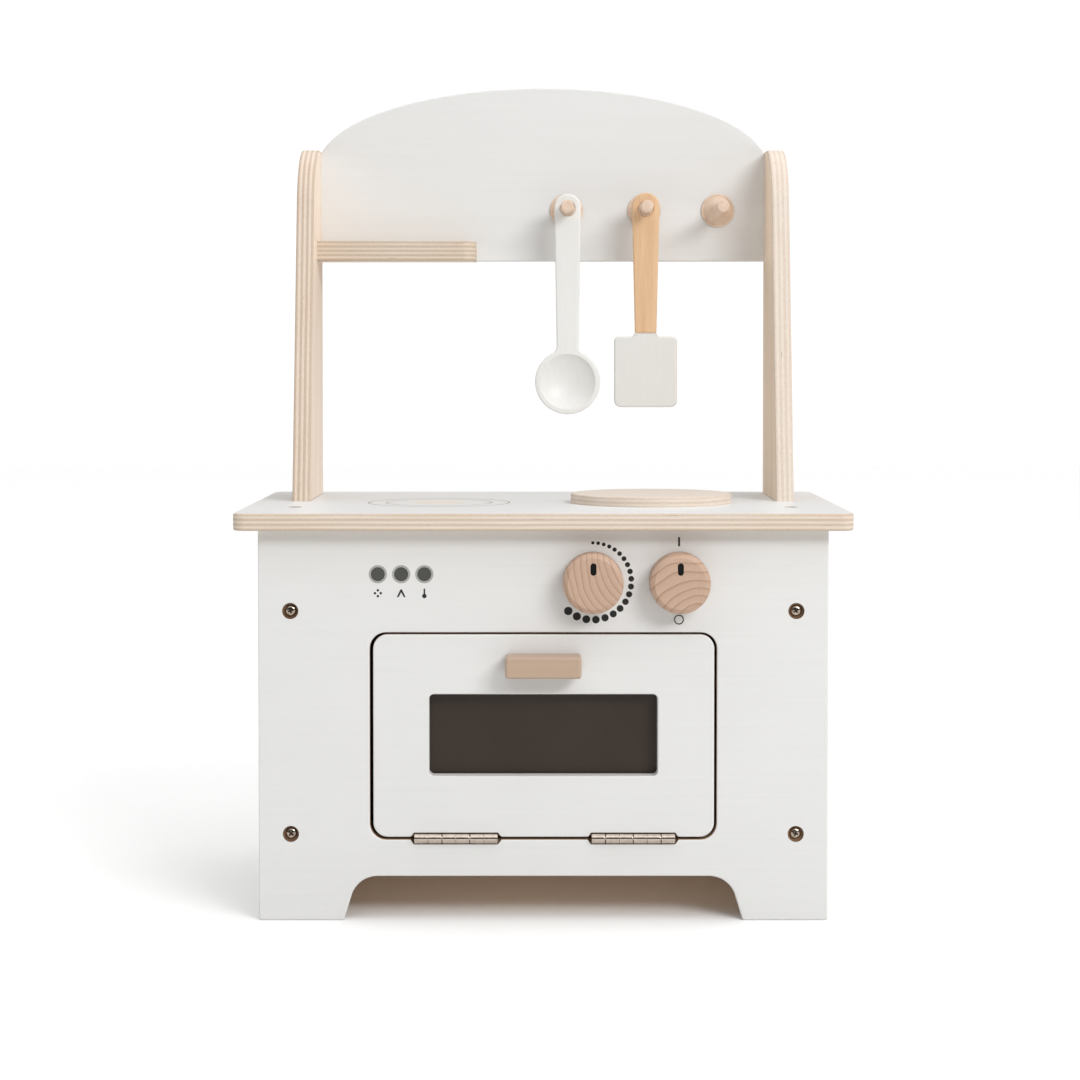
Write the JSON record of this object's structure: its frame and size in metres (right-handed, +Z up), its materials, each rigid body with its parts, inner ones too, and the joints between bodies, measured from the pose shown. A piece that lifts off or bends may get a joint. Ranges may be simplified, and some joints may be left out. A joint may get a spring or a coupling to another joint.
{
  "type": "toy kitchen",
  "caption": "Small wooden toy kitchen with a drop-down oven door, turning knobs, a raised hob, and an arched backboard whose shelf and pegs hold a hanging spoon and spatula.",
  "frame": {"origin": "on the floor, under the middle of the whole object's box", "axes": "+X to the right of someone standing in front of the oven door, +Y to the back, +Z up"},
  "size_m": [0.373, 0.244, 0.5254],
  "materials": {
    "white_paint": "satin white paint",
    "birch_plywood": "sealed birch plywood, plies showing on its edges",
    "beech": "sealed beech",
    "tan_paint": "satin tan paint",
    "utensil_paint": "satin off-white paint",
    "nickel_steel": "nickel plate",
    "bronzed_steel": "dark bronzed plate",
    "smoked_acrylic": "smoked sheet",
    "black_inlay": "matt black",
    "magnet_ferrite": "bare ferrite"
  },
  "bodies": {
    "cabinet": {"back_panel": "white_paint", "backboard": "white_paint", "catch_magnet": "magnet_ferrite", "door_stop_batten": "birch_plywood", "front_panel": "white_paint", "hob_disc": "birch_plywood", "left_backboard_screw": "bronzed_steel", "left_hinge_cabinet_leaf": "nickel_steel", "left_hinge_cabinet_left_screw": "nickel_steel", "left_hinge_cabinet_right_screw": "nickel_steel", "left_hinge_pin": "nickel_steel", "left_knob_washer": "nickel_steel", "left_lower_front_screw": "bronzed_steel", "left_peg": "beech", "left_post": "birch_plywood", "left_post_front_dowel": "beech", "left_post_rear_dowel": "beech", "left_side_panel": "white_paint", "left_upper_front_screw": "bronzed_steel", "left_worktop_screw": "bronzed_steel", "middle_peg": "beech", "oven_floor": "birch_plywood", "right_backboard_screw": "bronzed_steel", "right_hinge_cabinet_leaf": "nickel_steel", "right_hinge_cabinet_left_screw": "nickel_steel", "right_hinge_cabinet_right_screw": "nickel_steel", "right_hinge_pin": "nickel_steel", "right_knob_washer": "nickel_steel", "right_lower_front_screw": "bronzed_steel", "right_peg": "beech", "right_post": "birch_plywood", "right_post_front_dowel": "beech", "right_post_rear_dowel": "beech", "right_side_panel": "white_paint", "right_upper_front_screw": "bronzed_steel", "right_worktop_screw": "bronzed_steel", "shelf": "birch_plywood", "shelf_screw": "bronzed_steel", "worktop": "white_paint"},
    "oven_door": {"catch_strike_plate": "nickel_steel", "door_handle": "tan_paint", "left_handle_screw": "bronzed_steel", "left_hinge_door_leaf": "nickel_steel", "left_hinge_door_left_screw": "nickel_steel", "left_hinge_door_right_screw": "nickel_steel", "oven_door": "white_paint", "right_handle_screw": "bronzed_steel", "right_hinge_door_leaf": "nickel_steel", "right_hinge_door_left_screw": "nickel_steel", "right_hinge_door_right_screw": "nickel_steel", "window_pane": "smoked_acrylic"},
    "left_knob": {"left_knob": "beech", "left_knob_pointer": "black_inlay", "left_knob_screw": "nickel_steel"},
    "right_knob": {"right_knob": "beech", "right_knob_pointer": "black_inlay", "right_knob_screw": "nickel_steel"},
    "spoon": {"spoon": "utensil_paint"},
    "spatula": {"spatula_blade": "utensil_paint", "spatula_handle": "beech"}
  },
  "joints": [
    {"name": "oven_door_hinge", "type": "hinge", "parent": "cabinet", "child": "oven_door", "pos_m": [0, -0.102, 0.04995], "axis": [1, 0, 0], "range_deg": [0, 105]},
    {"name": "left_knob_turn", "type": "hinge", "parent": "cabinet", "child": "left_knob", "pos_m": [0.0299, -0.102, 0.2062], "axis": [0, -1, 0], "continuous": true},
    {"name": "right_knob_turn", "type": "hinge", "parent": "cabinet", "child": "right_knob", "pos_m": [0.082, -0.102, 0.2062], "axis": [0, -1, 0], "continuous": true},
    {"name": "spoon_lift_off", "type": "slide", "parent": "cabinet", "child": "spoon", "axis": [0, -1, 0], "range_m": [0, 0.045]},
    {"name": "spatula_lift_off", "type": "slide", "parent": "cabinet", "child": "spatula", "axis": [0, -1, 0], "range_m": [0, 0.045]}
  ]
}
